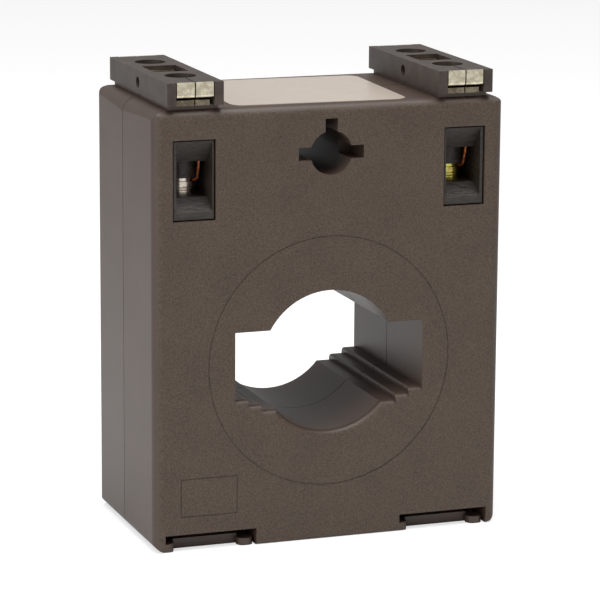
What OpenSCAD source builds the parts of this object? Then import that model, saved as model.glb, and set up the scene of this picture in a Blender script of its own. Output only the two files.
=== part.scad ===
// Current transformer for a busbar or cable, with a moulded two-part case.
// A strip-wound ring core with its secondary winding sits round the primary window.
// The case stands on its base: +X to the right, -Y to the front, +Z up, and the origin
// is the centre of the base.

/* [Case] */
// Width of the case at the parting plane
case_w = 75.6; // [72:0.1:100]
// Depth of the case, along the primary conductor
case_d = 40; // [34:0.5:60]
// Height of the case without its terminals
case_h = 90.7; // [90.4:0.1:120]
// Thickness of the moulded walls
wall = 2; // [1.6:0.1:2.4]
// Draft of the side walls, each way from the parting plane, in degrees
side_draft = 0.8; // [0:0.1:1.5]
// Radius of the upright and top edges of the front and rear faces
face_edge_r = 2; // [0.5:0.1:3]
// Radius of the bottom edges of the front and rear faces
base_edge_r = 0.8; // [0.5:0.1:2]
// Radius of the two top corners, seen from the front
top_corner_r = 3; // [1:0.1:5]
// Radius of the two bottom corners, seen from the front
base_corner_r = 3.2; // [1:0.1:5]
// Where the two shells part, behind the middle of the case
parting_y = 0.5; // [-2:0.1:3]

/* [Window] */
// Height of the window's centre above the base
window_z = 37.7; // [37.7:0.1:40]
// Diameter of the round part of the window, for a cable
bore_d = 29.5; // [24:0.1:32]
// Width of the flat slot, for a busbar
slot_w = 40.7; // [34:0.1:41]
// Height of the slot's top above the centre
slot_rise = 7.2; // [5:0.1:8]
// Depth of the highest ledge below the centre
ledge_fall = 7; // [5:0.1:8]
// Width of one ledge
ledge_w = 2.9; // [2:0.1:3.2]
// Drop from one ledge to the next
ledge_drop = 1.25; // [0.6:0.05:1.4]
// Radius on the nose of each ledge
ledge_nose_r = 0.5; // [0.2:0.05:0.55]
// Radius of the lip along the ledges and the lower half of the bore
lip_r = 1.4; // [0.5:0.1:1.6]
// Wall of the moulded tube round the window
tube_wall = 1.8; // [1.2:0.1:1.8]
// Diameter of the fine mould line round the window
mould_ring_d = 52; // [48:0.5:58]

/* [Fixing holes] */
// Height of the keyhole's centre above the base
key_z = 80.7; // [80.5:0.1:81.2]
// Diameter of the keyhole and of the tunnel behind it
key_d = 9; // [6:0.1:9.5]
// Width of the keyhole's three slots
key_slot_w = 2.7; // [2:0.1:3]
// Reach of each slot from the keyhole's centre
key_slot_reach = 7; // [6:0.1:7.2]
// Depth of the slots behind the face
key_slot_depth = 8; // [4:0.1:10]
// Distance from the middle to the inner end of each foot notch
notch_x = 15.7; // [15:0.1:17]
// Length of each foot notch
notch_w = 19.5; // [15:0.1:19.5]
// Height of each foot notch
notch_h = 3.6; // [2.5:0.1:3.8]
// Depth of each foot notch
notch_depth = 7; // [6:0.1:9]

/* [Core and winding] */
// Inner radius of the taped winding
coil_ri = 24.2; // [24.2:0.1:24.6]
// Radial thickness of the strip-wound core
core_build = 6.2; // [4:0.1:6.2]
// Thickness of the insulation on the core
insulation_t = 0.5; // [0.3:0.1:1]
// Thickness of the secondary winding
winding_t = 1.4; // [0.8:0.1:1.4]
// Thickness of the tape over the winding
tape_t = 0.3; // [0.2:0.05:0.4]
// Diameter of the two leads
lead_d = 0.6; // [0.5:0.1:0.8]

/* [Wiring pockets] */
// Distance of each pocket's centre from the middle
pocket_x = 29; // [28.5:0.1:29.5]
// Height of the pockets' centre above the base
pocket_z = 76.5; // [76.4:0.1:77.2]
// Width of a pocket in the case's face
pocket_w = 9; // [8:0.1:9]
// Height of a pocket in the case's face
pocket_h = 16.4; // [15:0.1:16.4]
// Thickness of the carrier's side walls at its mouth
mouth_wall = 0.45; // [0.3:0.05:0.8]
// Diameter of a terminal post
post_d = 6.4; // [6:0.1:6.8]

/* [Terminals] */
// Distance of each terminal block's centre from the middle
block_x = 28.86; // [28.5:0.01:29.5]
// Width of a terminal block
block_w = 11.75; // [11.5:0.05:13]
// How far a block stands proud of the case's front
block_front = 0.4; // [0:0.1:1]
// How far a block stops short of the case's rear
block_rear = 0.3; // [0:0.1:2]
// Height of a terminal block
block_h = 4.7; // [4.7:0.1:6]
// Gap between a block and the top of the case
block_gap = 0.9; // [0.6:0.1:2]
// Distance of the screws in front of and behind the middle
screw_y = 10.3; // [9.5:0.1:10.5]
// Diameter of a clamp screw's thread
screw_d = 3.94; // [3:0.01:4]
// Diameter of a clamp screw's head
head_d = 5.8; // [5:0.1:6]
// Height of a clamp screw's head
head_h = 1.35; // [1:0.05:1.5]
// Width of a bus strip
strip_w = 6.9; // [6.4:0.1:7.6]
// Thickness of a bus strip
strip_t = 1.1; // [0.8:0.1:1.2]
// Thickness of a clamp plate
plate_t = 0.6; // [0.4:0.05:0.7]
// How far the clamps stand open at rest
clamp_open = 0.45; // [0.2:0.05:0.6]

/* [Label] */
// Width of the rating label
label_w = 37.2; // [30:0.1:38]
// Depth of the rating label
label_d = 34; // [20:0.1:36]
// Corner radius of the rating label
label_r = 2.6; // [0.5:0.1:5]
// Turn of the label, which was laid on by hand, in degrees
label_turn = -1.8; // [-2:0.1:2]

/* [Fits] */
// Clearance between shell lips, pegs and their seats
fit_gap = 0.1; // [0.05:0.05:0.2]
// Radial running clearance of a screw in its threaded hole
thread_gap = 0.06; // [0.03:0.01:0.1]
// Gap round a carrier's mouth in its pocket
mouth_gap = 0.3; // [0.1:0.05:0.4]
// Gap at the taped winding's ends
coil_gap = 0.15; // [0.1:0.05:0.3]

/* [Hidden] */

left = -1;
right = 1;
front = -1;
rear = 1;

$fn = 72;
cut = 1;          // overrun of a cutting shape past the face that it cuts
skim = 0.02;      // overrun of a rounding cutter
far = 200;        // reach of a half-space cutter

// Moulded case
front_y = -case_d / 2;
rear_y = case_d / 2;
inner_y = case_d / 2 - wall;
inner_top_z = case_h - wall;
inner_edge_r = 0.5;                // smallest radius inside the case
lip_t = 0.9;                       // tongue on the front shell's rim
lip_l = 2;
groove_w = 0.25;                   // fine mould lines
groove_h = 0.12;
key_wall = 1.2;                    // wall of the keyhole's tunnel and slots
key_back = 0.7;                    // floor behind the slots
seam_w = 0.2;                      // step along the parting line
seam_h = 0.15;
boss_r = 2.5;                      // bosses that join the shells
pin_r = 1.5;
pin_l = 4;
pin_end_gap = 0.5;
boss_low = [case_w / 2 - 6.3, 6.5];
boss_high = [17, case_h - 5.5];

// Window
bore_r = bore_d / 2;
ledges = 3;

// Foot notches
notch_wall = 1.5;
notch_sill = 0.5;
toe_w = 2.3;
toe_h = 1.8;
lug_r = 1.7;
lug_h = 1.5;
lug_web = 1.6;                     // joins a lug to the notch's back wall
lug_gap = 0.3;                     // between a lug and the notch's end
lug_back = 0.5;                    // the lugs stand this far behind the face
bar_x = 2.5;
bar_w = 13.7;
bar_t = 1.8;
bar_h = 2.05;
bar_back = 3.1;
mark_w = 12.2;                     // mould line of the bare mark field
mark_h = 8.1;
mark_pos = [-25.9, 11.25];

// Ring core, from the inside outwards
seat_h = 1;                        // ring rib that the winding rests on
seat_w = 3;
wrap_gap = 0.05;
coil_w = case_d - 2 * (wall + seat_h + coil_gap);
winding_ri = coil_ri + tape_t + wrap_gap;
insulation_ri = winding_ri + winding_t + wrap_gap;
core_ri = insulation_ri + insulation_t + wrap_gap;
core_ro = core_ri + core_build;
insulation_ro = core_ro + wrap_gap + insulation_t;
winding_ro = insulation_ro + wrap_gap + winding_t;
coil_ro = winding_ro + wrap_gap + tape_t;
winding_w = coil_w - 2 * (tape_t + wrap_gap);
insulation_w = winding_w - 2 * (winding_t + wrap_gap);
core_w = insulation_w - 2 * (insulation_t + wrap_gap);
lead_sector = 14;                  // open sector at the top, where the leads come out
wire_sides = 10;
wire_side = [0.5, 0.6, -0.62];     // never along a stretch of a lead

// Carrier in the wiring pockets
carrier_w = pocket_w - 2 * mouth_gap;
carrier_h = pocket_h - 2 * mouth_gap;
flange = 0.9;                      // step behind the case's wall that traps the carrier
channel_w = carrier_w - 2 * mouth_wall;
mouth_inset = 0.45;                // the mouth stands this far inside the case's face
mouth_top_wall = 0.3;
mouth_floor_wall = 1.5;
mouth_top = pocket_z + carrier_h / 2 - mouth_top_wall;
mouth_floor = pocket_z - carrier_h / 2 + mouth_floor_wall;
throat_y = 3.9;                    // depth of the funnel's narrow end
throat_rise = 3.3;                 // throat above and below the pockets' centre
throat_fall = 3.9;
throat_top = pocket_z + throat_rise;
throat_floor = pocket_z - throat_fall;
behind_post = 0.5;
cavity_y = case_d / 2 - screw_y + post_d / 2 + behind_post;
collar_h = 3.8;
collar_z = throat_top - collar_h;  // lower end of the collar round the post
collar_wall = 0.3;
socket_depth = 0.7;
lead_dx = 2.3;                     // the lead comes down beside the post
lead_y = front_y + 4.8;
lead_hole = 0.4;                   // how much wider the carrier's hole is than the lead

// Terminals, from the case's top upwards
pad_z = case_h + block_gap;
pad_w = 10.6;
pad_front = 2;                     // the pads stop this far short of the blocks' ends
pad_rear = 1.5;
strip_z = pad_z + strip_t;
plate_z = strip_z + clamp_open;
web_z = plate_z + plate_t;
block_z = pad_z + block_h;
block_y0 = front_y - block_front;
block_y1 = rear_y - block_rear;
web_top_t = 0.95;                  // roof of the block
roof_z = block_z - web_top_t;
chamber_w = 8;
roof_notch = plate_t + 0.3;
hole_r = head_d / 2 + 0.3;
hatch_w = 7.2;
hatch_d = 8.8;
seal_r = 1.15;
seal_z = strip_z + 1.1;
seal_y = -0.3;
end_inset = 0.1;                   // plates inside the block's end faces
strip_inset = 0.6;                 // strip inside the block's end faces
strip_dx = -0.35;                  // the strip lies against the left wall of its groove
bed_w = 7.8;
plate_w = 7.6;
inner_reach = 6.7;
inner_flange_w = 6.6;
slit_w = 0.25;
slit_l = 3;
peg_r = 0.5;
peg_x = 4.5;
peg_y = 6;
peg_l = 2;
screw_l = 7.9;
screw_point = 0.5;                 // chamfer on a screw's end
head_edge = 0.3;
recess_w = 0.9;                    // cross recess
recess_l = 4.2;
recess_h = 0.8;
recess_turn = 30;
post_top_z = pad_z;
post_base_z = throat_floor - socket_depth;
post_bore_l = 6.6;
drill_point = 1;
neck_z = collar_z - 0.8;           // neck under the collar, where a lead is soldered on
neck_depth = 0.5;
rib_z = throat_floor + 0.2;        // lowest groove of a post
rib_pitch = 0.55;
rib_depth = 0.15;
rib_flat = 0.05;
rib_count = 3;

label_t = 0.12;
label_pos = [-0.95, -0.85];

/* Shared shapes */

// Waste outside a circular quarter: its sharp corner points to +X, +Y.
module corner_waste(r) {
    difference() {
        square(r + cut);
        circle(r);
    }
}

// Rectangle centred on X, standing on Y = 0, with its own radius at top and bottom.
module upright_outline(w, h, top_r, base_r) {
    difference() {
        translate([-w / 2, 0])
            square([w, h]);
        for (side = [left, right]) {
            translate([side * (w / 2 - top_r), h - top_r])
                scale([side, 1])
                    corner_waste(top_r);
            translate([side * (w / 2 - base_r), base_r])
                scale([side, -1])
                    corner_waste(base_r);
        }
    }
}

// Plan of the case: widest at the parting plane, drafted to both faces.
module plan_outline(inset) {
    hw = case_w / 2 - inset;
    hd = case_d / 2 - inset;
    front_hw = hw - (hd + parting_y) * tan(side_draft);
    rear_hw = hw - (hd - parting_y) * tan(side_draft);
    r = max(face_edge_r - inset, inner_edge_r);
    ease = r * (1 - sin(side_draft)) / cos(side_draft);
    difference() {
        polygon([
            [-front_hw, -hd], [front_hw, -hd], [hw, parting_y],
            [rear_hw, hd], [-rear_hw, hd], [-hw, parting_y]
        ]);
        for (side = [left, right]) {
            translate([side * (front_hw - ease), r - hd])
                scale([side, -1])
                    corner_waste(r);
            translate([side * (rear_hw - ease), hd - r])
                scale([side, 1])
                    corner_waste(r);
        }
    }
}

// Solid outline of the case, or of its inside when inset by the wall.
module case_body(inset) {
    intersection() {
        translate([0, 0, inset])
            linear_extrude(case_h - 2 * inset)
                plan_outline(inset);
        translate([0, far / 2, inset])
            rotate([90, 0, 0])
                linear_extrude(far)
                    upright_outline(
                        case_w - 2 * inset, case_h - 2 * inset,
                        max(top_corner_r - inset, inner_edge_r),
                        max(base_corner_r - inset, inner_edge_r)
                    );
        translate([-far / 2, 0, inset])
            rotate([90, 0, 90])
                linear_extrude(far)
                    upright_outline(
                        case_d - 2 * inset, case_h - 2 * inset,
                        max(face_edge_r - inset, inner_edge_r),
                        max(base_edge_r - inset, inner_edge_r)
                    );
    }
}

// Everything between two depths.
module slab(y0, y1) {
    translate([-far / 2, y0, -far / 2])
        cube([far, y1 - y0, far]);
}

// A flat drawing in X and Z, made solid between two depths.
module between(y0, y1) {
    translate([0, y1, 0])
        rotate([90, 0, 0])
            linear_extrude(y1 - y0)
                children();
}

// Round bar along Y between two depths.
module bar_y(x, z, r, y0, y1) {
    translate([x, y0, z])
        rotate([-90, 0, 0])
            cylinder(r = r, h = y1 - y0);
}

// The window, grown by the tube's wall for its outside.
module window_outline(grow) {
    circle(bore_r + grow);
    for (i = [0 : ledges - 1]) {
        half = slot_w / 2 - i * ledge_w + grow;
        fall = ledge_fall + i * ledge_drop + grow;
        translate([-half, -fall])
            square([2 * half, fall + slot_rise + grow]);
    }
}

// Rounds the nose of each ledge: the waste above and beside it.
module ledge_noses() {
    for (side = [left, right])
        for (i = [0 : ledges - 2])
            translate([
                side * (slot_w / 2 - (i + 1) * ledge_w + ledge_nose_r),
                -ledge_fall - i * ledge_drop - ledge_nose_r
            ])
                scale([-side, 1])
                    intersection() {
                        corner_waste(ledge_nose_r);
                        square(ledge_nose_r + skim);
                    }
}

// Waste that rounds a face's edge: profile of the lip in depth and height.
module lip_profile() {
    intersection() {
        corner_waste(lip_r);
        square(lip_r + skim);
    }
}

// Waste that rounds the window's lower lip on the front face.
module lower_lip() {
    for (side = [left, right])
        for (i = [0 : ledges - 1]) {
            outer = slot_w / 2 - i * ledge_w;
            chord = sqrt(pow(bore_r, 2) - pow(ledge_fall + i * ledge_drop, 2));
            inner = i < ledges - 1 ? outer - ledge_w : min(chord, outer - skim);
            translate([
                side > 0 ? inner : -outer,
                front_y + lip_r,
                window_z - ledge_fall - i * ledge_drop - lip_r
            ])
                rotate([90, 0, 90])
                    linear_extrude(outer - inner)
                        scale([-1, 1])
                            lip_profile();
        }
    sweep = 2 * acos((ledge_fall + (ledges - 1) * ledge_drop) / bore_r);
    translate([0, front_y + lip_r, window_z])
        rotate([90, 0, 0])
            rotate([0, 0, 270 - sweep / 2])
                rotate_extrude(angle = sweep)
                    translate([bore_r + lip_r, 0])
                        scale([-1, 1])
                            lip_profile();
}

/* Case details */

// Keyhole with three slots, seen from its own face.
module keyhole_outline(grow) {
    reach = key_slot_reach + grow;
    half = key_slot_w / 2 + grow;
    circle(key_d / 2 + grow);
    translate([-reach, -half])
        square([2 * reach, 2 * half]);
    translate([-half, 0])
        square([2 * half, reach]);
}

// A foot notch in the front edge of the base, with its toe, lug and bar left standing.
module foot_notch() {
    difference() {
        translate([0, front_y - cut, -cut])
            cube([notch_w, notch_depth + cut, notch_h + cut]);
        translate([0, front_y + toe_w, -2 * cut])
            cylinder(r = toe_w, h = toe_h + 2 * cut);
        translate([notch_w - lug_gap - lug_r, front_y + lug_back + lug_r, -2 * cut]) {
            cylinder(r = lug_r, h = lug_h + 2 * cut);
            translate([-lug_web / 2, 0, 0])
                cube([lug_web, notch_depth, lug_h + 2 * cut]);
        }
        translate([bar_x, front_y + bar_back, -2 * cut])
            cube([bar_w, bar_t, bar_h + 2 * cut]);
    }
}

// Two foot notches at their places along the front.
module foot_notches() {
    for (x = [-notch_x - notch_w, notch_x])
        translate([x, 0, 0])
            foot_notch();
}

// Walls that close the notches from the case's inside.
module notch_housings() {
    for (side = [left, right])
        translate([
            side > 0 ? notch_x - notch_wall : -notch_x - notch_w,
            front_y + base_edge_r, notch_sill
        ])
            cube([
                notch_w + notch_wall, notch_depth + notch_wall - base_edge_r,
                notch_h + notch_wall - notch_sill
            ]);
}

// Fine mould lines on a face: the ring round the window.
module mould_ring() {
    translate([0, front_y, window_z])
        rotate([90, 0, 0])
            difference() {
                translate([0, 0, -groove_h])
                    cylinder(d = mould_ring_d + groove_w, h = groove_h + cut, $fn = 144);
                translate([0, 0, -groove_h - cut])
                    cylinder(d = mould_ring_d - groove_w, h = groove_h + 3 * cut, $fn = 144);
            }
}

// Mould line of the bare field at the lower left.
module mark_field() {
    between(front_y - cut, front_y + groove_h)
        translate(mark_pos)
            difference() {
                square([mark_w, mark_h], center = true);
                square([mark_w - 2 * groove_w, mark_h - 2 * groove_w], center = true);
            }
}

// The parts of a shell that look the same from its own face. They are drawn for the
// front, from the face to the parting plane at y_end.
module shell_ribs(y_end) {
    between(front_y + wall / 2, y_end)
        translate([0, window_z])
            window_outline(tube_wall);
    bar_y(0, key_z, key_d / 2 + key_wall, front_y + wall / 2, y_end);
    between(front_y + wall / 2, front_y + key_slot_depth + key_back)
        translate([0, key_z])
            keyhole_outline(key_wall);
    difference() {
        bar_y(0, window_z, coil_ri + seat_w * 2, front_y + wall / 2, front_y + wall + seat_h);
        bar_y(0, window_z, coil_ri + seat_w, front_y - cut, front_y + wall + seat_h + cut);
    }
    for (side = [left, right]) {
        bar_y(side * boss_low.x, boss_low.y, boss_r, front_y + wall / 2, y_end);
        bar_y(side * boss_high.x, boss_high.y, boss_r, front_y + wall / 2, y_end);
    }
    notch_housings();
}

// Everything that is cut through a shell from its own face to y_end.
module shell_cuts(y_end) {
    between(front_y - cut, y_end + cut)
        translate([0, window_z]) {
            window_outline(0);
            ledge_noses();
        }
    lower_lip();
    bar_y(0, key_z, key_d / 2, front_y - cut, y_end + cut);
    between(front_y - cut, front_y + key_slot_depth)
        translate([0, key_z])
            keyhole_outline(0);
    for (side = [left, right])
        translate([side * pocket_x - pocket_w / 2, front_y - cut, pocket_z - pocket_h / 2])
            cube([pocket_w, wall + 2 * cut, pocket_h]);
    foot_notches();
    mould_ring();
}

// Holes in the case's top for the posts and the blocks' pegs, at one end.
module top_holes(end) {
    for (side = [left, right]) {
        translate([side * block_x, end * screw_y, inner_top_z - cut])
            cylinder(d = post_d + 2 * fit_gap, h = wall + block_gap + 2 * cut);
        for (dx = [-peg_x, peg_x])
            translate([side * block_x + dx, end * peg_y, inner_top_z - cut])
                cylinder(r = peg_r + fit_gap, h = wall + 2 * cut);
    }
}

// Raised pads under the terminal blocks, between two depths.
module block_pads(y0, y1) {
    for (side = [left, right])
        translate([side * block_x - pad_w / 2, y0, case_h - wall / 2])
            cube([pad_w, y1 - y0, wall / 2 + block_gap]);
}

/* Case shells */

// Step that leaves a fine line along the parting plane, inside the window and outside.
module seam_line() {
    between(parting_y - seam_w, parting_y + cut)
        translate([0, window_z])
            window_outline(seam_h);
    difference() {
        slab(parting_y - seam_w, parting_y + skim);
        case_body(seam_h);
    }
}

module front_shell() {
    color("#4a4039")
        difference() {
            union() {
                difference() {
                    intersection() {
                        case_body(0);
                        slab(front_y - cut, parting_y);
                    }
                    case_body(wall);
                }
                difference() {
                    intersection() {
                        case_body(wall - lip_t);
                        slab(parting_y - cut, parting_y + lip_l);
                    }
                    case_body(wall);
                }
                intersection() {
                    shell_ribs(parting_y);
                    case_body(wall / 2);
                }
                block_pads(block_y0 + pad_front, parting_y);
                for (side = [left, right])
                    for (place = [boss_low, boss_high])
                        bar_y(side * place.x, place.y, pin_r, parting_y - cut, parting_y + pin_l);
            }
            shell_cuts(parting_y);
            seam_line();
            top_holes(front);
            mark_field();
        }
}

module rear_shell() {
    color("#4a4039")
        difference() {
            union() {
                difference() {
                    intersection() {
                        case_body(0);
                        slab(parting_y, rear_y + cut);
                    }
                    case_body(wall);
                    intersection() {
                        case_body(wall - lip_t - fit_gap);
                        slab(parting_y - cut, parting_y + lip_l + fit_gap);
                    }
                }
                intersection() {
                    rotate([0, 0, 180])
                        shell_ribs(-parting_y);
                    case_body(wall / 2);
                    slab(parting_y, rear_y);
                }
                block_pads(parting_y, block_y1 - pad_rear);
            }
            rotate([0, 0, 180])
                shell_cuts(-parting_y);
            top_holes(rear);
            for (side = [left, right])
                for (place = [boss_low, boss_high])
                    bar_y(
                        side * place.x, place.y, pin_r + fit_gap / 2,
                        parting_y - cut, parting_y + pin_l + pin_end_gap
                    );
        }
}

/* Core and winding */

// Ring with a rectangular section about the window's axis.
module ring(ri, ro, w) {
    translate([0, w / 2, window_z])
        rotate([90, 0, 0])
            difference() {
                cylinder(r = ro, h = w, $fn = 144);
                translate([0, 0, -cut])
                    cylinder(r = ri, h = w + 2 * cut, $fn = 144);
            }
}

// Wedge at the top of the ring, between two half angles, that lets the leads out.
module lead_wedge(degrees) {
    reach = 2 * coil_ro;
    between(-case_d, case_d)
        translate([0, window_z])
            polygon([[0, 0], [-reach * tan(degrees / 2), reach], [reach * tan(degrees / 2), reach]]);
}

// Sleeve round a ring-shaped inside, open over the lead sector.
module wrapped_ring(ri, ro, w, t, opening) {
    difference() {
        ring(ri, ro, w);
        ring(ri + t, ro - t, w - 2 * t);
        lead_wedge(opening);
    }
}

module core_ring() {
    color("#8d9296")
        ring(core_ri, core_ro, core_w);
}

module core_insulation() {
    color("#e8dfc6")
        wrapped_ring(insulation_ri, insulation_ro, insulation_w, insulation_t, lead_sector / 4);
}

module secondary_winding() {
    color("#b06a35")
        wrapped_ring(winding_ri, winding_ro, winding_w, winding_t, lead_sector);
}

module winding_tape() {
    color("#d9c23a")
        wrapped_ring(coil_ri, coil_ro, coil_w, tape_t, lead_sector);
}

function unit(v) = v / norm(v);

// Route with each corner cut back on both sides, so that the wire bends and has no kink.
function eased(points, back) = [
    points[0],
    for (i = [1 : len(points) - 2])
        for (next = [points[i - 1], points[i + 1]])
            points[i] + unit(next - points[i]) * min(back, norm(next - points[i]) / 3),
    points[len(points) - 1]
];

// Points of one ring round the route, square to the run from before it to after it.
function wire_ring(path, i, r) =
    let (
        run = unit(path[min(i + 1, len(path) - 1)] - path[max(i - 1, 0)]),
        u = unit(cross(run, wire_side)),
        v = cross(run, u)
    )
    [
        for (k = [0 : wire_sides - 1])
            let (turn = 360 * k / wire_sides)
                path[i] + r * (cos(turn) * u + sin(turn) * v)
    ];

// Round wire along a route.
module wire(points, d) {
    path = eased(points, d);
    last = (len(path) - 1) * wire_sides;
    polyhedron(
        points = [for (i = [0 : len(path) - 1]) each wire_ring(path, i, d / 2)],
        faces = concat(
            [[for (k = [0 : wire_sides - 1]) k]],
            [
                for (i = [0 : len(path) - 2])
                    for (k = [0 : wire_sides - 1])
                        let (a = i * wire_sides, n = (k + 1) % wire_sides, b = a + wire_sides)
                            each [[a + k, b + k, b + n], [a + k, b + n, a + n]]
            ],
            [[for (k = [wire_sides - 1 : -1 : 0]) last + k]]
        )
    );
}

// Each lead leaves its end of the winding through the open sector, goes over a carrier and
// comes down beside the front post, on the same side of both posts.
lead_top_z = inner_top_z - 1.5;
lead_start_r = winding_ro - winding_t / 2;
lead_start_x = lead_start_r * sin(lead_sector / 2) - lead_d / 2 - wrap_gap;
lead_clear = post_d / 2 + thread_gap + collar_wall + lead_d / 2 + 2 * fit_gap;
lead_seat = (post_d + lead_d) / 2 - neck_depth + wrap_gap;
lead_seat_at = [0.6, -0.8];        // where a lead's end meets the post, from its axis

// Start of a lead: out of the winding and up beside the carrier.
function lead_rise(side) = [
    [side * lead_start_x, 2, window_z + lead_start_r * cos(lead_sector / 2)],
    [side * (lead_start_x - 0.3), 2, window_z + coil_ro + 1],
    [side * 9, 6, window_z + coil_ro + 2.8],
    [side * 20.8, 6, window_z + coil_ro + 5],
    [side * 21.4, 3, lead_top_z]
];

// End of a lead: down through the carrier and against the ribs of the post.
function lead_drop(side) = [
    [side * block_x + lead_dx, lead_y, lead_top_z - 0.4],
    [side * block_x + lead_dx, lead_y, throat_top - lead_d],
    [
        side * block_x + lead_clear * lead_seat_at.x,
        lead_clear * lead_seat_at.y - screw_y,
        collar_z - 0.75 * lead_d
    ],
    [
        side * block_x + lead_seat * lead_seat_at.x,
        lead_seat * lead_seat_at.y - screw_y,
        collar_z - 0.75 * lead_d
    ]
];

lead_left_points = concat(lead_rise(left), [[-24, -9, lead_top_z]], lead_drop(left));
lead_right_points = concat(
    lead_rise(right),
    [[29.5, 0, lead_top_z], [33.4, -8, lead_top_z]],
    lead_drop(right)
);

module lead_left() {
    color("#c98b4b")
        wire(lead_left_points, lead_d);
}

module lead_right() {
    color("#c98b4b")
        wire(lead_right_points, lead_d);
}

/* Terminal carriers and posts */

// Profile of a wire funnel and the cavity round the post, in depth and height.
module funnel_outline() {
    polygon([
        [front_y - cut, mouth_floor],
        [front_y + mouth_inset, mouth_floor],
        [front_y + throat_y, throat_floor],
        [front_y + cavity_y, throat_floor],
        [front_y + cavity_y, throat_top],
        [front_y + throat_y, throat_top],
        [front_y + mouth_inset, mouth_top],
        [front_y - cut, mouth_top]
    ]);
}

// Cavity at the front of a carrier that is centred on X = 0.
module carrier_cavity() {
    difference() {
        translate([-channel_w / 2, 0, 0])
            rotate([90, 0, 90])
                linear_extrude(channel_w)
                    funnel_outline();
        translate([0, -screw_y, collar_z])
            cylinder(d = post_d + 2 * (thread_gap + collar_wall), h = throat_top - collar_z + cut);
    }
    translate([0, -screw_y, post_base_z])
        cylinder(d = post_d + 2 * thread_gap, h = case_h);
}

// Moulded carrier of both posts: it reaches from the front pocket to the rear one.
module terminal_carrier(side) {
    color("#26211e")
        translate([side * pocket_x, 0, 0])
            difference() {
                union() {
                    translate([-carrier_w / 2, front_y + mouth_inset, pocket_z - carrier_h / 2])
                        cube([carrier_w, case_d - 2 * mouth_inset, carrier_h]);
                    translate([
                        -carrier_w / 2 - flange, fit_gap - inner_y,
                        pocket_z - carrier_h / 2 - flange
                    ])
                        cube([
                            carrier_w + 2 * flange, 2 * (inner_y - fit_gap),
                            carrier_h + 2 * flange
                        ]);
                }
                translate([side * (block_x - pocket_x), 0, 0]) {
                    carrier_cavity();
                    rotate([0, 0, 180])
                        carrier_cavity();
                    translate([lead_dx, lead_y, throat_top - cut])
                        cylinder(d = lead_d + lead_hole, h = case_h);
                }
            }
}

// Metal post that carries a bus strip and takes a clamp screw, ribbed at its foot.
module terminal_post(side, end, tint) {
    r = post_d / 2;
    groove = [
        [0, 0],
        [rib_depth, rib_depth],
        [rib_depth, rib_depth + rib_flat],
        [0, 2 * rib_depth + rib_flat]
    ];
    ribs = [
        for (i = [0 : rib_count - 1])
            for (p = groove)
                [r - p.x, rib_z + i * rib_pitch + p.y]
    ];
    color(tint)
        translate([side * block_x, end * screw_y, 0])
            rotate_extrude()
                polygon(concat(
                    [[0, post_base_z], [r, post_base_z]],
                    ribs,
                    [
                        [r, neck_z],
                        [r - neck_depth, neck_z],
                        [r - neck_depth, collar_z],
                        [r, collar_z],
                        [r, post_top_z],
                        [screw_d / 2 + thread_gap, post_top_z],
                        [screw_d / 2 + thread_gap, post_top_z - post_bore_l],
                        [0, post_top_z - post_bore_l - drill_point]
                    ]
                ));
}

/* Terminals */

module bus_strip(side) {
    y0 = block_y0 + strip_inset;
    y1 = block_y1 - strip_inset;
    color("#b9b3a2")
        translate([side * block_x, 0, 0])
            difference() {
                translate([strip_dx - strip_w / 2, y0, pad_z])
                    cube([strip_w, y1 - y0, strip_t]);
                for (end = [front, rear])
                    translate([0, end * screw_y, pad_z - cut])
                        cylinder(r = screw_d / 2 + thread_gap, h = strip_t + 2 * cut);
                translate([-slit_w / 2, y0 - cut, pad_z - cut])
                    cube([slit_w, slit_l + cut, strip_t + 2 * cut]);
                translate([-slit_w / 2, y1 - slit_l, pad_z - cut])
                    cube([slit_w, slit_l + cut, strip_t + 2 * cut]);
            }
}

// Bent section of a clamp plate, with the outer flange at -reach.
module plate_outline(reach) {
    outer_h = block_z - plate_z;
    inner_h = roof_z - plate_z;
    difference() {
        union() {
            translate([-reach, 0])
                square([reach + inner_reach, plate_t]);
            translate([-reach, 0])
                square([plate_t, outer_h]);
            translate([inner_reach - plate_t, 0])
                square([plate_t, inner_h]);
        }
        translate([plate_t - reach, plate_t])
            scale([-1, -1])
                corner_waste(plate_t);
        translate([inner_reach - plate_t, plate_t])
            scale([1, -1])
                corner_waste(plate_t);
    }
}

// Clamp plate with upturned flanges: the outer one fills the end of the block.
module clamp_plate(side, end) {
    reach = end == front ? -screw_y - block_y0 - end_inset : block_y1 - screw_y - end_inset;
    color("#d8d2bf")
        translate([side * block_x, end * screw_y, plate_z])
            rotate([0, 0, end == front ? 0 : 180])
                difference() {
                    translate([-plate_w / 2, 0, 0])
                        rotate([90, 0, 90])
                            linear_extrude(plate_w)
                                plate_outline(reach);
                    translate([0, 0, -cut])
                        cylinder(r = screw_d / 2 + fit_gap, h = plate_t + 2 * cut);
                    translate([-slit_w / 2, -reach - cut, -cut])
                        cube([slit_w, slit_l + cut, block_h + 2 * cut]);
                    for (x = [-plate_w, inner_flange_w / 2])
                        translate([x, inner_reach - plate_t - cut, plate_t])
                            cube([
                                plate_w - inner_flange_w / 2, plate_t + 2 * cut, block_h
                            ]);
                }
}

module clamp_screw(side, end) {
    r = head_d / 2;
    color("#8f8a80")
        translate([side * block_x, end * screw_y, web_z])
            difference() {
                rotate_extrude()
                    polygon([
                        [0, -screw_l], [screw_d / 2 - screw_point, -screw_l],
                        [screw_d / 2, screw_point - screw_l], [screw_d / 2, 0],
                        [r, 0], [r, head_h - head_edge], [r - head_edge, head_h], [0, head_h]
                    ]);
                translate([0, 0, head_h - recess_h / 2 + cut / 2])
                    for (turn = [recess_turn, recess_turn + 90])
                        rotate([0, 0, turn])
                            cube([recess_w, recess_l, recess_h + cut], center = true);
            }
}

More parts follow.
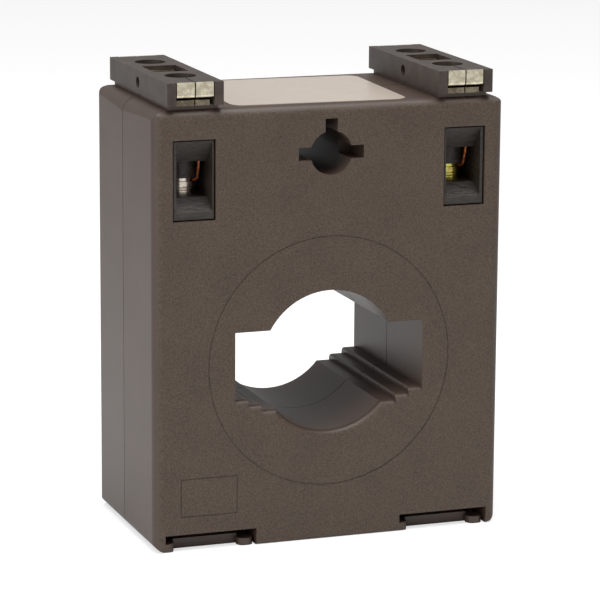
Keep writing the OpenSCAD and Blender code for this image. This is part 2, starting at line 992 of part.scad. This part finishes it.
// Moulded block over a bus strip: screw holes, a hatch for the seal wire and a seal hole.
module terminal_block(side) {
    block_l = block_y1 - block_y0;
    color("#3a302b")
        translate([side * block_x, 0, 0]) {
            difference() {
                translate([-block_w / 2, block_y0, pad_z])
                    cube([block_w, block_l, block_h]);
                translate([-bed_w / 2, block_y0 - cut, pad_z - cut])
                    cube([bed_w, block_l + 2 * cut, strip_t + fit_gap + cut]);
                translate([-chamber_w / 2, block_y0 - cut, strip_z])
                    cube([chamber_w, block_l + 2 * cut, roof_z - strip_z]);
                for (y = [block_y0 - cut, block_y1 - roof_notch])
                    translate([-chamber_w / 2, y, strip_z])
                        cube([chamber_w, roof_notch + cut, block_h]);
                for (end = [front, rear])
                    translate([0, end * screw_y, strip_z])
                        cylinder(r = hole_r, h = block_h);
                translate([-hatch_w / 2, -hatch_d / 2, strip_z])
                    cube([hatch_w, hatch_d, block_h]);
                translate([-block_w, seal_y, seal_z])
                    rotate([0, 90, 0])
                        cylinder(r = seal_r, h = 2 * block_w);
                translate([-slit_w / 2, block_y0 - cut, roof_z - cut])
                    cube([slit_w, -screw_y - block_y0 + cut, block_h]);
            }
            for (dx = [-peg_x, peg_x])
                for (end = [front, rear])
                    translate([dx, end * peg_y, pad_z - block_gap - peg_l])
                        cylinder(r = peg_r, h = block_gap + peg_l + cut);
        }
}

module rating_label() {
    color("#cfc8bf")
        translate([label_pos.x, label_pos.y, case_h])
            rotate([0, 0, label_turn])
                linear_extrude(label_t)
                    translate([0, -label_d / 2])
                        upright_outline(label_w, label_d, label_r, label_r);
}

front_shell();
rear_shell();
core_ring();
core_insulation();
secondary_winding();
winding_tape();
lead_left();
lead_right();
terminal_carrier(left);  // terminal_carrier_left
terminal_carrier(right);  // terminal_carrier_right
terminal_post(left, front, "#c9ccc9");  // terminal_post_front_left
terminal_post(right, front, "#c9b848");  // terminal_post_front_right
terminal_post(left, rear, "#c9ccc9");  // terminal_post_rear_left
terminal_post(right, rear, "#c9b848");  // terminal_post_rear_right
bus_strip(left);  // bus_strip_left
bus_strip(right);  // bus_strip_right
clamp_plate(left, front);  // clamp_plate_front_left
clamp_plate(right, front);  // clamp_plate_front_right
clamp_plate(left, rear);  // clamp_plate_rear_left
clamp_plate(right, rear);  // clamp_plate_rear_right
clamp_screw(left, front);  // clamp_screw_front_left
clamp_screw(right, front);  // clamp_screw_front_right
clamp_screw(left, rear);  // clamp_screw_rear_left
clamp_screw(right, rear);  // clamp_screw_rear_right
terminal_block(left);  // terminal_block_left
terminal_block(right);  // terminal_block_right
rating_label();
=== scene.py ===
# %% [markdown]
# # A window current transformer
#
# A current transformer measures the current in a busbar or a cable that passes through
# its window. The bar is its primary winding. A ring core round the window carries a fine
# secondary winding, whose two ends come out at the clamp terminals on the top.
# The shapes were made in CAD. Here they get their finishes, a floor and light.

# %% Load the frame
import math

import bmesh
import bpy
from mathutils import Matrix, Vector


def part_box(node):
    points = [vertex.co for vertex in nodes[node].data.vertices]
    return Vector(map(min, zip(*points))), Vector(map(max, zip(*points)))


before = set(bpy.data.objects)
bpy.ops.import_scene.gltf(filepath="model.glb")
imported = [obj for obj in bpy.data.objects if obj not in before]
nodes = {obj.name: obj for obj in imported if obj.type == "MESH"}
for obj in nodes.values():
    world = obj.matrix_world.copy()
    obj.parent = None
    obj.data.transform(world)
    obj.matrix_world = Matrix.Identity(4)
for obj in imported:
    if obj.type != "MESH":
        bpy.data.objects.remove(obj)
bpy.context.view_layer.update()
MM = 0.001

# %% [markdown]
# ## The camera
# A long lens from 65 cm away keeps the upright edges nearly parallel. The camera stands a
# little to the left of the front and a little above, and its place is written from those
# three angles, so that it is easy to turn. Blender's camera looks along its own -Z.

# %% Camera
def turned_camera(yaw, pitch, roll, aim, distance, lens):
    """A camera at a distance from the point that it aims at, turned by angles in degrees."""
    yaw, pitch, roll = (math.radians(v) for v in (yaw, pitch, roll))
    ahead = Vector((
        math.sin(yaw) * math.cos(pitch), math.cos(yaw) * math.cos(pitch), -math.sin(pitch)
    ))
    level = Vector((math.cos(yaw), -math.sin(yaw), 0))
    over = level.cross(ahead)
    across = math.cos(roll) * level + math.sin(roll) * over
    over = math.cos(roll) * over - math.sin(roll) * level
    camera = bpy.data.objects.new("camera", bpy.data.cameras.new("camera"))
    turn = Matrix((across, over, -ahead)).transposed().to_4x4()
    camera.matrix_world = Matrix.Translation(aim - distance * ahead) @ turn
    camera.data.lens = lens
    camera.data.clip_start = 0.01
    bpy.context.collection.objects.link(camera)
    return camera


camera = turned_camera(
    yaw=19.719, pitch=12.265, roll=0.368,
    aim=Vector((-4.924, -15.425, 49.770)) * MM, distance=646.725 * MM, lens=190.0,
)
bpy.context.scene.camera = camera
bpy.context.scene.view_settings.view_transform = "Standard"
print("camera at", [round(v / MM) for v in camera.matrix_world.translation], "mm")

# %% [markdown]
# ## Maths in materials
# A material is a net of nodes, and sums in it need one Math node each. This small class
# wraps a socket, so that `1 - mask * 2` written in Python adds those nodes by itself.

# %% Sockets with operators
class Socket:
    """A socket of a material. Python's + - * / on it add Math nodes."""

    def __init__(self, tree, socket):
        self.tree = tree
        self.socket = socket

    def node(self, kind, inputs=None, output=0, stops=None, **settings):
        """Adds one node, with its settings first and then values or links for its sockets."""
        made = self.tree.nodes.new("ShaderNode" + kind)
        for name, value in settings.items():
            setattr(made, name, value)
        if stops:
            ramp = made.color_ramp
            while len(ramp.elements) < len(stops):
                ramp.elements.new(1)
            for element, (place, colour) in zip(ramp.elements, stops):
                element.position = place
                element.color = (*colour, 1)
        for name, value in (inputs or {}).items():
            if isinstance(value, Socket):
                self.tree.links.new(value.socket, made.inputs[name])
            else:
                made.inputs[name].default_value = value
        return Socket(self.tree, made.outputs[output])

    def sum(self, operation, first, second):
        return self.node("Math", {0: first, 1: second}, operation=operation)

    def __add__(self, other):
        return self.sum("ADD", self, other)

    def __sub__(self, other):
        return self.sum("SUBTRACT", self, other)

    def __rsub__(self, other):
        return self.sum("SUBTRACT", other, self)

    def __mul__(self, other):
        return self.sum("MULTIPLY", self, other)

    __radd__ = __add__
    __rmul__ = __mul__

    def power(self, exponent):
        return self.sum("POWER", self, exponent)

    def least(self, other):
        return self.sum("MINIMUM", self, other)

    def most(self, other):
        return self.sum("MAXIMUM", self, other)

    def step(self, start, end):
        """0 before start and 1 after end, with a soft change between."""
        return self.node(
            "MapRange", {"Value": self, "From Min": start, "From Max": end},
            interpolation_type="SMOOTHSTEP",
        )

    def axis(self, letter):
        return self.node("SeparateXYZ", {"Vector": self}, output="XYZ".index(letter))

    def noise(self, size, detail=2.0, roughness=0.5, stretch=(1, 1, 1)):
        """Cloudy pattern whose blotches are about size metres across."""
        place = self.node("Mapping", {"Vector": self, "Scale": stretch})
        return place.node("TexNoise", {
            "Vector": place, "Scale": 1 / size, "Detail": detail, "Roughness": roughness,
        })

    def cells(self, size, feature="F1"):
        """Distance from the middle of cells about size metres across."""
        return self.node("TexVoronoi", {"Vector": self, "Scale": 1 / size}, feature=feature)

    def blend(self, low, high):
        """From the colour low, where this is 0, to the colour high, where this is 1."""
        mix = self.tree.nodes.new("ShaderNodeMix")
        mix.data_type = "RGBA"
        self.tree.links.new(self.socket, mix.inputs[0])
        for slot, colour in ((6, low), (7, high)):
            if isinstance(colour, Socket):
                self.tree.links.new(colour.socket, mix.inputs[slot])
            else:
                mix.inputs[slot].default_value = (*colour, 1)
        return Socket(self.tree, mix.outputs[2])


def shade(red, green, blue):
    """A colour as seen on a screen, 0 to 255, as the light amounts that a shader takes."""
    return tuple(
        ((v / 255 + 0.055) / 1.055) ** 2.4 if v > 10 else v / 255 / 12.92
        for v in (red, green, blue)
    )


print("dark brown plastic is", [round(v, 3) for v in shade(66, 53, 43)])

# %% [markdown]
# Every finish starts from the same two calls. `new_finish` makes a material and hands back
# the piece's own coordinates in metres, which stay with the piece when it moves.
# `set_surface` puts colour, roughness and relief on the one shader.

# %% Start and end of a finish
def new_finish(name):
    material = bpy.data.materials.new(name)
    material.use_nodes = True
    tree = material.node_tree
    here = Socket(tree, tree.nodes.new("ShaderNodeTexCoord").outputs["Object"])
    return material, here


def set_surface(material, colour, roughness, relief=None, height=0.0, **fixed):
    """colour and roughness may be sockets. relief is a socket from 0 to 1, height its metres."""
    tree = material.node_tree
    shader = tree.nodes["Principled BSDF"]
    for name, value in (("Base Color", colour), ("Roughness", roughness)):
        if isinstance(value, Socket):
            tree.links.new(value.socket, shader.inputs[name])
        else:
            shader.inputs[name].default_value = (*value, 1) if name == "Base Color" else value
    for name, value in fixed.items():
        shader.inputs[name.replace("_", " ")].default_value = value
    if relief is not None:
        bump = relief.node("Bump", {"Height": relief, "Distance": height, "Strength": 1.0})
        tree.links.new(bump.socket, shader.inputs["Normal"])
    return material


def dress(material, *names):
    """Puts a finish on CAD pieces."""
    for name in names:
        mesh = nodes[name].data
        mesh.materials.clear()
        mesh.materials.append(material)
    print(material.name, "on", len(names), "pieces")


# %% [markdown]
# ## Moulded case
# The mould's front and rear faces were spark-eroded, which leaves an even grain of tiny
# pits, about 0.3 mm apart. Each pit catches the light as a yellowish speck; those glints
# are painted into the colour as lighter specks, a painted highlight over the pits' real
# relief. The sides and the inside of the window come from smoother steel. One material
# covers all of it: the grain's strength is worked out from where on the case a point lies.

# %% Case plastic
front_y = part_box("front_shell")[0][1]
rear_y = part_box("rear_shell")[1][1]
window_centre = (0, 37.7 * MM)
CASE_DARK = shade(56, 43, 34)
CASE_LIGHT = shade(84, 70, 56)
SMOOTH_DARK = shade(60, 46, 38)
SMOOTH_LIGHT = shade(72, 57, 49)
FACE_DEPTH = 0.7 * MM     # the grain fades out this far behind a face
GRAIN_SIZE = 0.34 * MM
GLINT_PIT_SIZE = 0.5 * MM
GLINT_PIT_GROUPS = 1.1 * MM
CLOUD_SIZE = 9 * MM
PIT_DEPTH = 0.05 * MM


def case_plastic():
    material, here = new_finish("case_plastic")
    y = here.axis("Y")
    face = 1 - (y - front_y).step(0.0, FACE_DEPTH) * (rear_y - y).step(0.0, FACE_DEPTH)
    grain = here.noise(GRAIN_SIZE, detail=2.0, roughness=0.7)
    # The specks are lighter spots painted as glints, which makes them a painted highlight. The
    # same specks also add real pits to the relief.
    speck_pits_and_painted_glints = here.cells(GLINT_PIT_SIZE).step(0.32, 0.12) * here.noise(GLINT_PIT_GROUPS).step(0.42, 0.62)
    clouds = here.noise(CLOUD_SIZE, detail=3.0)
    # The specks' share of the tone is painted highlight. Grain and clouds are the plastic's own
    # tone.
    tone = (grain - 0.5) * 3.0 + 0.45 + speck_pits_and_painted_glints * 0.7 + (clouds - 0.5) * 0.5
    grained = tone.blend(CASE_DARK, CASE_LIGHT)
    smooth = clouds.blend(SMOOTH_DARK, SMOOTH_LIGHT)
    colour = face.blend(smooth, grained)
    roughness = 0.48 + face * 0.14 - grain * 0.1
    relief = grain * (0.25 + face * 0.75) + speck_pits_and_painted_glints * face * 0.4
    return set_surface(material, colour, roughness, relief, PIT_DEPTH)


dress(case_plastic(), "front_shell", "rear_shell")

# %% [markdown]
# ## Terminal blocks and carriers
# The blocks are moulded in the same dark plastic with a finer skin. The carriers in the
# pockets are nearly black and shinier, with flow streaks on the sloping floors.

# %% Block and carrier plastic
def block_plastic():
    material, here = new_finish("block_plastic")
    grain = here.noise(0.25 * MM, detail=3.0, roughness=0.6)
    clouds = here.noise(3 * MM, detail=4.0)
    mottle = (clouds * 0.6 + grain * 0.4).step(0.3, 0.7)
    colour = mottle.blend(shade(42, 33, 28), shade(66, 54, 47))
    return set_surface(material, colour, 0.36 + grain * 0.2, grain, 0.02 * MM)


def carrier_plastic():
    material, here = new_finish("carrier_plastic")
    streaks = here.noise(0.9 * MM, detail=4.0, roughness=0.7, stretch=(0.5, 1, 3))
    colour = streaks.step(0.35, 0.7).blend(shade(30, 25, 22), shade(56, 48, 40))
    return set_surface(material, colour, 0.2 + streaks * 0.4, streaks, 0.12 * MM)


dress(block_plastic(), "terminal_block_left", "terminal_block_right")
dress(carrier_plastic(), "terminal_carrier_left", "terminal_carrier_right")

# %% [markdown]
# ## Plated metal
# The left posts are bright nickel and the right ones yellow zinc. The clamp plates are
# nickel over stamped steel, with tiny pits, and the bus strips are dull tin. One function
# makes all of them: a base colour, a cloud of tarnish, and fine pits.

# %% Metals
def plated(name, light, dark, roughness, pit_size, pit_height):
    material, here = new_finish(name)
    clouds = here.noise(1.2 * MM, detail=4.0, roughness=0.6)
    pits = here.noise(pit_size, detail=3.0, roughness=0.7)
    colour = clouds.step(0.35, 0.65).blend(light, dark)
    gloss = roughness + clouds * 0.12 + pits * 0.1 - 0.11
    return set_surface(material, colour, gloss, pits, pit_height, Metallic=1.0)


dress(
    plated("post_silver", shade(226, 218, 208), shade(196, 182, 168), 0.22, 0.3 * MM, 0.004 * MM),
    "terminal_post_front_left", "terminal_post_rear_left",
)
dress(
    plated("post_yellow", shade(208, 204, 110), shade(170, 150, 78), 0.22, 0.3 * MM, 0.004 * MM),
    "terminal_post_front_right", "terminal_post_rear_right",
)
dress(
    plated("plate_nickel", shade(228, 220, 196), shade(190, 180, 156), 0.34, 0.35 * MM, 0.02 * MM),
    *[f"clamp_plate_{end}_{side}" for end in ("front", "rear") for side in ("left", "right")],
)
dress(
    plated("strip_plated", shade(140, 130, 112), shade(104, 94, 80), 0.42, 0.3 * MM, 0.01 * MM),
    "bus_strip_left", "bus_strip_right",
)
dress(
    plated("screw_zinc", shade(132, 126, 118), shade(84, 78, 72), 0.36, 0.3 * MM, 0.006 * MM),
    *[f"clamp_screw_{end}_{side}" for end in ("front", "rear") for side in ("left", "right")],
)

# %% [markdown]
# ## Core and winding
# They are closed in by the case, but a cutaway would show them: steel strip wound like a
# clock spring, buff insulation, enamelled copper wire laid round the ring, and yellow tape.

# %% Inner finishes
def ring_finish(name, dark, light, pitch, roughness, metal=0.0):
    """Fine lines across the ring's section, about pitch metres apart."""
    material, here = new_finish(name)
    centred = here.node("Mapping", {"Vector": here, "Location": (0, 0, -window_centre[1])})
    x, z = centred.axis("X"), centred.axis("Z")
    radius = (x * x + z * z).power(0.5)
    lines = radius.sum("PINGPONG", radius, pitch) * (1 / pitch)
    colour = (lines * 0.7 + here.noise(2 * MM) * 0.3).blend(dark, light)
    return set_surface(material, colour, roughness, lines, 0.03 * MM, Metallic=metal)


dress(
    ring_finish("core_steel", shade(96, 98, 102), shade(164, 166, 170), 0.35 * MM, 0.35, 1.0),
    "core_ring",
)
dress(
    ring_finish("insulation", shade(200, 190, 158), shade(226, 216, 186), 1.2 * MM, 0.7),
    "core_insulation",
)
dress(
    ring_finish("winding_copper", shade(120, 62, 30), shade(190, 108, 60), 0.5 * MM, 0.3, 0.6),
    "secondary_winding", "lead_left", "lead_right",
)
dress(
    ring_finish("winding_tape", shade(186, 150, 48), shade(214, 180, 76), 3 * MM, 0.3),
    "winding_tape",
)

# %% [markdown]
# ## Rating label
# The label is a silver foil, left bare of print.

# %% Label foil
def label_foil():
    material, here = new_finish("label_foil")
    clouds = here.noise(2.5 * MM, detail=3.0)
    colour = clouds.blend(shade(196, 182, 168), shade(212, 198, 184))
    return set_surface(material, colour, 0.3, Metallic=0.4)


dress(label_foil(), "rating_label")

# %% [markdown]
# ## Floor
# The part stands on a wide white floor. The camera sees it glow a little, so that it
# meets the white behind it, and it still darkens under the part.

# %% Floor
FLOOR_HALF = 4.0
FLOOR_GLOW = 0.62


def floor_finish():
    material, here = new_finish("floor")
    tree = material.node_tree
    seen = here.node("LightPath", output=0)
    output = tree.nodes["Material Output"]
    shader = tree.nodes["Principled BSDF"]
    shader.inputs["Base Color"].default_value = (0.85, 0.85, 0.85, 1)
    shader.inputs["Roughness"].default_value = 0.9
    glow = here.node("Emission", {"Color": (1, 1, 1, 1), "Strength": FLOOR_GLOW})
    dim = here.node("BsdfDiffuse", {"Color": (0.5, 0.5, 0.5, 1)})
    both = here.node("AddShader", {0: glow, 1: dim})
    mixed = here.node("MixShader", {0: seen, 1: Socket(tree, shader.outputs[0]), 2: both})
    tree.links.new(mixed.socket, output.inputs["Surface"])
    return material


mesh = bmesh.new()
bmesh.ops.create_grid(mesh, x_segments=1, y_segments=1, size=FLOOR_HALF)
floor_mesh = bpy.data.meshes.new("floor")
mesh.to_mesh(floor_mesh)
mesh.free()
floor = bpy.data.objects.new("floor", floor_mesh)
bpy.context.collection.objects.link(floor)
floor_mesh.materials.append(floor_finish())
print("floor", 2 * FLOOR_HALF, "m square")

# %% [markdown]
# ## Light and world
# A large soft lamp overhead gives the bright lines on the rounded edges, and a weaker one
# at the left lifts the side. The world is white to the camera and dimmer to the part.

# %% World
def light_world(level):
    world = bpy.data.worlds.new("world")
    bpy.context.scene.world = world
    world.use_nodes = True
    tree = world.node_tree
    sky = tree.nodes["Background"]
    sky.inputs["Color"].default_value = (1, 1, 1, 1)
    path = tree.nodes.new("ShaderNodeLightPath")
    to_camera = Socket(tree, path.outputs["Is Camera Ray"])
    seen = to_camera.most(Socket(tree, path.outputs["Is Transmission Ray"]))
    strength = seen * (1.0 - level) + level
    tree.links.new(strength.socket, sky.inputs["Strength"])


def soft_lamp(name, place, aim, size, power):
    lamp = bpy.data.lights.new(name, "AREA")
    lamp.shape = "RECTANGLE"
    lamp.size, lamp.size_y = size
    lamp.energy = power
    thing = bpy.data.objects.new(name, lamp)
    thing.location = place
    thing.rotation_euler = (Vector(aim) - Vector(place)).to_track_quat("-Z", "Y").to_euler()
    bpy.context.collection.objects.link(thing)


light_world(0.45)
lit_point = (0, 0, 0.05)
soft_lamp("overhead", (-0.05, -0.15, 0.75), lit_point, (0.7, 0.5), 6.0)
soft_lamp("left", (-0.7, -0.35, 0.35), lit_point, (0.4, 0.5), 2.0)
